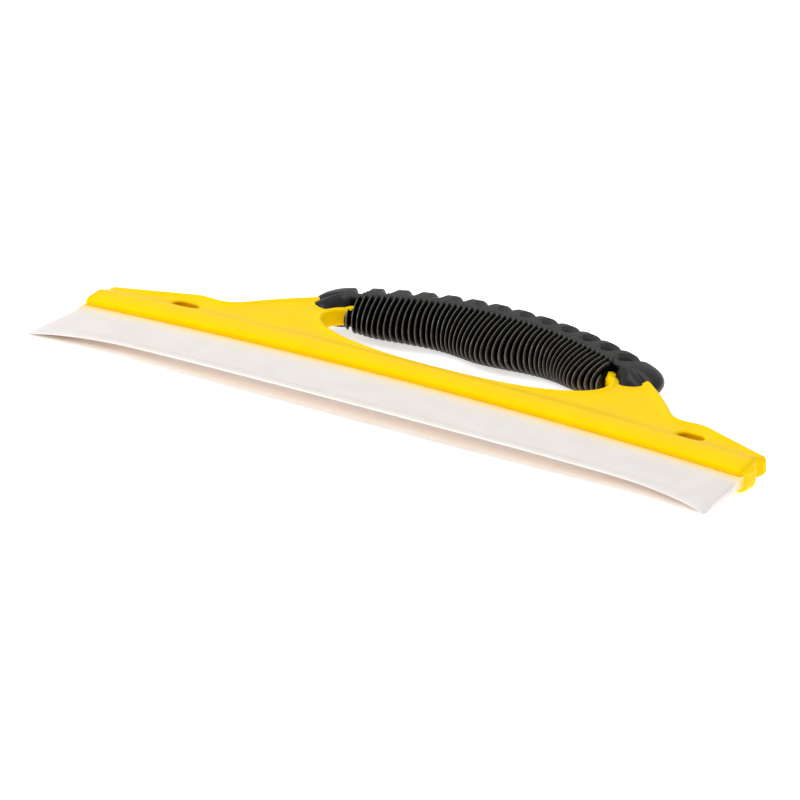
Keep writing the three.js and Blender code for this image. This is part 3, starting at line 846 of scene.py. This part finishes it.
def blade_section():
    """Points (run, half-height, hollow): run is 0 at the holder's front and 1 at the lips' edge."""
    web_run = np.linspace(0, 1, 26)
    depth = BAR_FRONT_Y - LIP_Y
    flare = smooth((web_run * depth - (depth - FLARE)) / FLARE) ** FLARE_POWER
    outer = WEB_HALF + (WAIST_HALF - WEB_HALF) * web_run + (LIP_HALF - WAIST_HALF) * flare
    root = [(-ROOT_IN_HOLDER / depth, WEB_HALF, 0.0)]
    skin = root + [(r, h, 0.0) for r, h in zip(web_run, outer)]
    turn = np.linspace(0, math.pi, 6)[1:-1]
    tip_middle = outer[-1] - LIP_EDGE / 2
    tip = [(1 + TIP_BULGE * math.sin(t) / depth, tip_middle + LIP_EDGE / 2 * math.cos(t), 0.0)
           for t in turn]
    into = np.linspace(0, 1, 12)
    half_gap = LIP_HALF - LIP_EDGE
    hollow = [(1 - HOLLOW_DEEP * t / depth, half_gap * math.sqrt(max(0.0, 1 - t ** HOLLOW_POWER)), t)
              for t in into]
    upper = skin + tip + hollow
    return upper + [(r, -h, t) for r, h, t in reversed(upper[:-1])]


section = blade_section()
print("the blade's section has", len(section), "points")

# %% Carry the section along the blade
STATIONS = 180
THIN_RUN = 0.25                      # the ends keep their thickness at the holder, and thin over this share
GLOW_RUN = 20.0                      # length that the finish counts as 1 from the holder
HOLLOW_SHADE_RISE = 1.4                      # how fast the painted shade in the hollow grows inwards
HOLLOW_SHADE_FADE = 3.0                      # how fast it fades where the lips close


def blade_mesh():
    run = np.array([p[0] for p in section])
    half = np.array([p[1] for p in section])
    hollow = np.array([p[2] for p in section])
    along = np.sin(np.linspace(-1, 1, STATIONS) * math.pi / 2)
    points, from_holder, hollow_shade = [], [], []
    depth = BAR_FRONT_Y - LIP_Y
    for a in along:
        spread_out = clamp01(run)
        x = a * (WEB_LENGTH + (BLADE_LENGTH - WEB_LENGTH) * spread_out) / 2
        shift = bow(x) * (1 - spread_out) + edge_setback(x) * spread_out
        y = BAR_FRONT_Y - run * depth + shift
        y = np.maximum(y, LIP_Y)
        flare = smooth((run * depth - (depth - FLARE)) / FLARE)
        share = lip_share(x)
        outer = half * (1 + (share - 1) * flare)
        wall = LIP_EDGE * np.where(hollow > 0, 1.0, 0.0)
        inner = np.sign(half) * np.maximum(0.0, (np.abs(half) + wall) * share - wall)
        to_end = clamp01((1 - abs(a)) * BLADE_LENGTH / 2 / END_ROUND)
        thin = (1 - END_THIN) * (1 - math.sqrt(1 - (1 - to_end) ** 2)) * smooth(run / THIN_RUN)
        z = np.where(hollow > 0, inner, outer) * (1 - thin)
        points.append(np.column_stack([x, y, z]))
        from_holder.append(np.maximum(0, run) * depth / GLOW_RUN)
        # painted shade: strongest inside the hollow, fading where the lips close
        hollow_shade.append(smooth(hollow * HOLLOW_SHADE_RISE) * clamp01(share * HOLLOW_SHADE_FADE))
    faces = tube_faces(STATIONS, len(section))
    return np.concatenate(points), faces, np.concatenate(from_holder), np.concatenate(hollow_shade)


blade_points, blade_faces, blade_from_holder, blade_hollow_shade = blade_mesh()
silicone_blade = new_piece("silicone_blade", blade_points, blade_faces, sharp_degrees=50)
point_value(silicone_blade, "from_holder", blade_from_holder)
point_value(silicone_blade, "hollow_shade", blade_hollow_shade)
faces_out(silicone_blade)
silicone_blade.data.materials.append(SILICONE)
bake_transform(silicone_blade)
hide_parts("blade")

# %% [markdown]
# ## The rubber grip
# The grip is a rounded bar on a bowed axis. Its finger side carries thin ribs with deep gaps between
# them, its back is smooth with thirteen crosswise scoops, and its ends close softly over the arms.
# A modifier stack of arrays would put the ribs on a straight bar only, so the skin is drawn directly:
# a point is given by its place along the axis and its angle round it, and formulas take the gaps and
# scoops out of its radius. Rings of points lie close together at the ribs' walls and further apart
# between them.

# %% Ribs, scoops and the skin of the grip
GRIP_HALF_LENGTH = 78.5
GRIP_END, END_POWER = 13.0, 2.2      # length and fullness of each closing end
HALF_DEPTH, HALF_DEPTH_END = 16.1, 12.8
HALF_HEIGHT, HALF_HEIGHT_END = 10.35, 5.4
FINGER_SWELL, SWELL_PITCH = 3.6, 54.0
RIB_PITCH, RIB_HALF, RIB_WALL = 2.49, 0.27, 0.18
RIB_COUNT = 50
LAST_RIB = (RIB_COUNT - 1) / 2         # ribs are numbered from the middle
RIB_DEEP = 3.2
BAND_ANGLE = 97.0                    # the smooth back reaches this far round, in degrees from the back
BAND_FADE = 6.0                      # degrees over which the gaps between the ribs begin
END_TUCK, TUCK_START, TUCK_RUN = 2.8, 48.0, 12.0
SCOOP_COUNT, SCOOP_PITCH = 13, 9.9
LAST_SCOOP = (SCOOP_COUNT - 1) / 2
SCOOP_DEEP, SCOOP_HALF_WIDTH = 3.8, 3.3
SCOOP_POWER = 0.3                    # a small power gives a flat floor and steep walls
SCOOP_ANGLE = 74.0                   # the middle of a scoop's rounded end
MEAN_RADIUS = 13.0
OVER_CORE = 4.9                      # the skin's half-height never drops below this, over the core


BESIDE_RIB = (-0.86, -0.58, -0.36, -0.14, 0.14, 0.36, 0.58, 0.86)
END_RINGS = 34
PAST_LAST_RIB, CLOSEST_RINGS = 1.5, 0.2


def ring_places():
    """Places along the axis: close together at each rib's walls."""
    centres = (np.arange(RIB_COUNT) - LAST_RIB) * RIB_PITCH
    ribs = (centres[:, None] + np.array([*BESIDE_RIB, RIB_PITCH / 2])).ravel()
    turn = np.linspace(0, math.pi / 2, END_RINGS)
    last = centres[-1] + PAST_LAST_RIB
    end = last + (GRIP_HALF_LENGTH - last) * np.sin(turn)
    end = end[end > ribs.max() + CLOSEST_RINGS]
    return np.concatenate([-end[::-1], ribs[ribs > -end.min()], end])


def gap_share(along):
    """1 in the gaps between ribs, 0 on a rib and past the last one."""
    number = np.clip(np.round(along / RIB_PITCH - 0.5) + 0.5, -LAST_RIB, LAST_RIB)
    off = np.abs(along - number * RIB_PITCH)
    past = np.abs(along) > LAST_RIB * RIB_PITCH
    return np.where(past, 0.0, smooth((off - RIB_HALF) / RIB_WALL))


def scoop_depth(along, angle):
    """Depth of the nearest scoop: a round-ended groove across the back."""
    row = np.clip(np.round(along / SCOOP_PITCH), -LAST_SCOOP, LAST_SCOOP)
    past = np.maximum(0, np.abs(angle) - math.radians(SCOOP_ANGLE)) * MEAN_RADIUS
    off = np.hypot(along - row * SCOOP_PITCH, past) / SCOOP_HALF_WIDTH
    return SCOOP_DEEP * np.maximum(0, 1 - off ** 2) ** SCOOP_POWER


def grip_sizes(along):
    share = (along / GRIP_HALF_LENGTH) ** 2
    depth = HALF_DEPTH + (HALF_DEPTH_END - HALF_DEPTH) * share
    height = HALF_HEIGHT + (HALF_HEIGHT_END - HALF_HEIGHT) * share
    into = np.maximum(0, np.abs(along) - (GRIP_HALF_LENGTH - GRIP_END)) / GRIP_END
    close = np.sqrt(np.maximum(0.0, 1 - clamp01(into) ** END_POWER))
    return share, depth, height, close


def finger_swell(along, share):
    """How far the finger side stands out: swells in the middle, drawn in near the ends."""
    wave = FINGER_SWELL * np.cos(2 * math.pi * along / SWELL_PITCH) * (1 - share)
    return wave - END_TUCK * smooth((np.abs(along) - TUCK_START) / TUCK_RUN)


def grip_skin(along, angle):
    share, depth, height, close = grip_sizes(along)
    facing = np.maximum(0, -np.cos(angle))
    swell = finger_swell(along, share) * facing
    under_band = smooth((np.degrees(np.abs(angle)) - BAND_ANGLE) / BAND_FADE)
    cut = scoop_depth(along, angle) + RIB_DEEP * gap_share(along) * under_band
    behind = close * (depth + swell - cut) * np.cos(angle)
    up = close * np.maximum(height - cut, OVER_CORE) * np.sin(angle)
    turn = along / GRIP_BOW_RADIUS
    radius = GRIP_BOW_RADIUS + behind
    return np.column_stack([radius * np.sin(turn), GRIP_CENTRE_Y + radius * np.cos(turn), up])


# %% [markdown]
# At its ends the rubber lies on the arms as a soft tongue and leaves the plastic rims bare. So near a
# bare part the skin sinks, along a round edge, until it is under the plastic.

# %% Soft edges over the arms
BARE_RIM = 3.2                       # width of the rim that the rubber leaves bare
TONGUE_FRONT_Y = 26.3
OUTER_RIM_END_Y = 33.6
SUNK_HEIGHT = 2.2                    # the rubber's height where it is out of sight
EDGE_ROUND = 4.5
MOUTH_STEEP = 3.5                    # the skin drops this much faster against the rims' ends
PAST_EDGE = 0.4                      # the skin stays whole where it is this far outside the frame


def sink_near_rims(points):
    plan_xy = points[:, :2]
    side = (OPENING_MOUTH_X - np.abs(points[:, 0])) * MOUTH_STEEP
    from_opening = to_loop(plan_xy, opening) * np.where(inside(plan_xy, opening), -1, 1)
    in_frame = to_loop(plan_xy, outline) * np.where(inside(plan_xy, outline), 1, -1)
    bare_opening = np.maximum(from_opening - BARE_RIM, side)
    bare_rim = np.maximum(in_frame - BARE_RIM, -in_frame - PAST_EDGE)
    bare_rim = np.maximum(bare_rim, points[:, 1] - OUTER_RIM_END_Y)
    tongue = np.maximum(points[:, 1] - TONGUE_FRONT_Y, side)
    off = np.minimum.reduce([bare_opening, bare_rim, tongue])
    lift = np.sqrt(1 - (1 - clamp01(off / EDGE_ROUND)) ** 2)
    above = np.maximum(0, np.abs(points[:, 2]) - SUNK_HEIGHT)
    low = np.minimum(np.abs(points[:, 2]), SUNK_HEIGHT)
    points[:, 2] = np.sign(points[:, 2]) * (low + above * lift)
    return points


SIDES = 132


def grip_mesh():
    places = ring_places()
    inner = places[1:-1]
    angles = np.linspace(-math.pi, math.pi, SIDES, endpoint=False)
    along, angle = np.meshgrid(inner, angles, indexing="ij")
    points = grip_skin(along.ravel(), angle.ravel())
    ends = grip_skin(np.array([places[0], places[-1]]), np.zeros(2))
    points = sink_near_rims(np.concatenate([points, ends]))
    rows = len(inner)
    faces = []
    for r in range(rows - 1):
        for i in range(SIDES):
            j = (i + 1) % SIDES
            faces.append((r * SIDES + i, (r + 1) * SIDES + i, (r + 1) * SIDES + j, r * SIDES + j))
    first, last = rows * SIDES, rows * SIDES + 1
    for i in range(SIDES):
        j = (i + 1) % SIDES
        faces.append((first, i, j))
        faces.append((last, (rows - 1) * SIDES + j, (rows - 1) * SIDES + i))
    return points, faces


rubber_grip = new_piece("rubber_grip", *grip_mesh(), sharp_degrees=60)
faces_out(rubber_grip)

# %% [markdown]
# Past the mouth of the finger opening, the opening's end walls are bare plastic. There the rubber is
# simply cut away, by a boolean with a prism of the opening's end.

# %% Cut the rubber away at the opening's ends
PRISM_GROW = 0.8                     # the prism is this much larger than the opening's end
PRISM_OVERLAP = 0.3                  # the part of the opening that it follows starts this far inside
PRISM_FACE = 0.2                     # its flat face lies this far inside the rims' ends
PRISM_FRONT, PRISM_BACK = 4.0, 1.5   # that face reaches this far past the opening's line
PRISM_HALF_HEIGHT = 20.0


def opening_prism(side):
    beyond = opening_front[opening_front[:, 0] > OPENING_MOUTH_X - PRISM_OVERLAP]
    edge = beyond + sideways(np.gradient(beyond, axis=0)) * PRISM_GROW
    face_x = OPENING_MOUTH_X - PRISM_FACE
    loop = np.concatenate([[(face_x, edge[0, 1] - PRISM_FRONT)], edge, [(face_x, edge[-1, 1] + PRISM_BACK)]])
    loop = loop * np.array([side, 1.0])
    n = len(loop)
    heights = (-PRISM_HALF_HEIGHT, PRISM_HALF_HEIGHT)
    points = np.concatenate([np.column_stack([loop, np.full(n, z)]) for z in heights])
    faces = [tuple(range(n)), tuple(range(2 * n - 1, n - 1, -1))]
    faces += [(i, (i + 1) % n, n + (i + 1) % n, n + i) for i in range(n)]
    prism = new_piece("opening_prism", points, faces)
    faces_out(prism)
    return prism


def cut_away(piece, cutter):
    modifier = piece.modifiers.new("cut", "BOOLEAN")
    modifier.object = cutter
    modifier.operation = "DIFFERENCE"
    modifier.solver = "MANIFOLD"
    with bpy.context.temp_override(object=piece, active_object=piece):
        bpy.ops.object.modifier_apply(modifier="cut")
    bpy.data.objects.remove(cutter)


for side in (-1, 1):
    cut_away(rubber_grip, opening_prism(side))
print("the grip now has", len(rubber_grip.data.vertices), "points")

# %% Numbers for the rubber's finish
DULL_INSET, DULL_FADE = 2.0, 5.0     # degrees: the dull back ends this far inside the band, and fades
DULL_END, DULL_END_FADE = 62.0, 8.0  # it ends here along the grip too
HIGHLIGHT_START, HIGHLIGHT_FADE = 3.0, 6.0     # degrees past the band: where the painted highlight on the ribs' edges begins
HIGHLIGHT_FROM, HIGHLIGHT_RISE = 0.94, 0.04    # the highlight lies on the outermost share of the radius
GAP_BELOW, GAP_FALL = 0.97, 0.08     # the painted shade in the gaps lies under this share of it
SCOOP_SHADE, SCOOP_BRIGHT = 1.6, 0.5  # the painted shade in the scoops darkens from their edge to their floor
FIRST_FACING = 0.1                   # keeps the division near the axis safe
LAST_RIB_EDGE = 0.5                  # how far the painted highlight on the last rib's edge may reach past its middle


def grip_numbers(piece):
    """Where the back, the painted highlight on the ribs' edges and the painted shade in the gaps and scoops
    are, from each point's place.
    """
    p = drawn_places(piece)
    radius = np.hypot(p[:, 0], p[:, 1] - GRIP_CENTRE_Y)
    along = GRIP_BOW_RADIUS * np.arctan2(p[:, 0], p[:, 1] - GRIP_CENTRE_Y)
    share, depth, height, _ = grip_sizes(along)
    behind = (radius - GRIP_BOW_RADIUS) / depth
    up = p[:, 2] / height
    facing = np.maximum(0, -behind / np.maximum(FIRST_FACING, np.hypot(up, behind)))
    behind *= depth / (depth + finger_swell(along, share) * facing)
    angle = np.degrees(np.abs(np.arctan2(up, behind)))
    out = np.hypot(up, behind)
    past_band = angle - BAND_ANGLE
    on_back = 1 - smooth((past_band + DULL_INSET) / DULL_FADE)
    on_back *= 1 - smooth((np.abs(along) - DULL_END) / DULL_END_FADE)
    # painted highlight on the outermost part of each rib
    on_rib = (gap_share(along) < 0.5) & (np.abs(along) < LAST_RIB * RIB_PITCH + LAST_RIB_EDGE)
    rib_highlight = smooth((past_band - HIGHLIGHT_START) / HIGHLIGHT_FADE) * smooth((out - HIGHLIGHT_FROM) / HIGHLIGHT_RISE)
    edge = np.where(on_rib, rib_highlight, 0.0)
    # painted shade in the gaps between the ribs
    among_ribs = np.abs(along) < RIB_COUNT / 2 * RIB_PITCH
    gap = smooth(past_band / BAND_FADE) * among_ribs * smooth((GAP_BELOW - out) / GAP_FALL)
    # painted shade in the scoops, which also takes the lighter dull back away there
    scoop_share = scoop_depth(along, np.radians(angle)) / SCOOP_DEEP
    scoop = smooth(scoop_share * SCOOP_SHADE - SCOOP_BRIGHT)
    return on_back * (1 - scoop), edge, np.maximum(gap, scoop)


on_back, rib_edge_highlight, gap_and_scoop_shade = grip_numbers(rubber_grip)
point_value(rubber_grip, "on_back", on_back)
point_value(rubber_grip, "rib_edge_highlight", rib_edge_highlight)
point_value(rubber_grip, "gap_and_scoop_shade", gap_and_scoop_shade)
rubber_grip.data.materials.clear()
rubber_grip.data.materials.append(RUBBER)
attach(rubber_grip, "handle")
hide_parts("grip")

# %% [markdown]
# ## Floor and light
# The tool lies on a white floor, on its lower lip and the underside of its grip, so the floor is a
# plane through those two. Large soft lights and a white surround give the even light of a studio,
# with a slightly stronger light from above the front left so that the round shapes still read.

# %% Floor
blade_co, grip_co = places_of(silicone_blade), places_of(rubber_grip)
lip = blade_co[blade_co[:, 2].argmin()]
slope = ((grip_co[:, 2] - lip[2]) / (grip_co[:, 1] - lip[1])).min()
FLOOR_HALF = 3.0
FLOOR_GAP = 0.0001                   # metres, so that the floor and the tool never share a surface
corners = [(x, y, lip[2] + slope * (y - lip[1])) for x, y in
           ((-FLOOR_HALF, -FLOOR_HALF), (FLOOR_HALF, -FLOOR_HALF),
            (FLOOR_HALF, FLOOR_HALF), (-FLOOR_HALF, FLOOR_HALF))]
floor_data = bpy.data.meshes.new("floor")
floor_data.from_pydata(corners, [], [(0, 1, 2, 3)])
floor = bpy.data.objects.new("floor", floor_data)
bpy.context.scene.collection.objects.link(floor)
floor.location.z = -FLOOR_GAP

floor_finish, _, _, floor_shader = new_finish("white_floor")
floor_shader.inputs["Base Color"].default_value = (0.93, 0.93, 0.93, 1)
floor_shader.inputs["Roughness"].default_value = 0.9
floor_shader.inputs["Specular IOR Level"].default_value = 0.0
floor_shader.inputs["Emission Color"].default_value = (1, 1, 1, 1)
floor_shader.inputs["Emission Strength"].default_value = 0.62
floor_data.materials.append(floor_finish)
print("the floor slopes by", round(math.degrees(math.atan(slope)), 2), "degrees")

# %% Light
def soft_light(name, place, aim, size, power):
    data = bpy.data.lights.new(name, "AREA")
    data.shape = "RECTANGLE"
    data.size, data.size_y = size
    data.energy = power
    light = bpy.data.objects.new(name, data)
    bpy.context.scene.collection.objects.link(light)
    light.location = place
    light.rotation_mode = "QUATERNION"
    light.rotation_quaternion = (Vector(aim) - Vector(place)).to_track_quat("-Z", "Y")


soft_light("key", (-1.4, -1.2, 1.3), (0, 0, 0), (1.0, 0.8), 25)
soft_light("top", (0.1, 0.6, 1.8), (0, 0, 0), (1.4, 1.0), 9)

world = bpy.data.worlds.new("white_surround")
world.use_nodes = True
background = world.node_tree.nodes["Background"]
background.inputs["Color"].default_value = (1, 1, 1, 1)
background.inputs["Strength"].default_value = 0.6
bpy.context.scene.world = world
bpy.context.scene.view_settings.view_transform = "Standard"
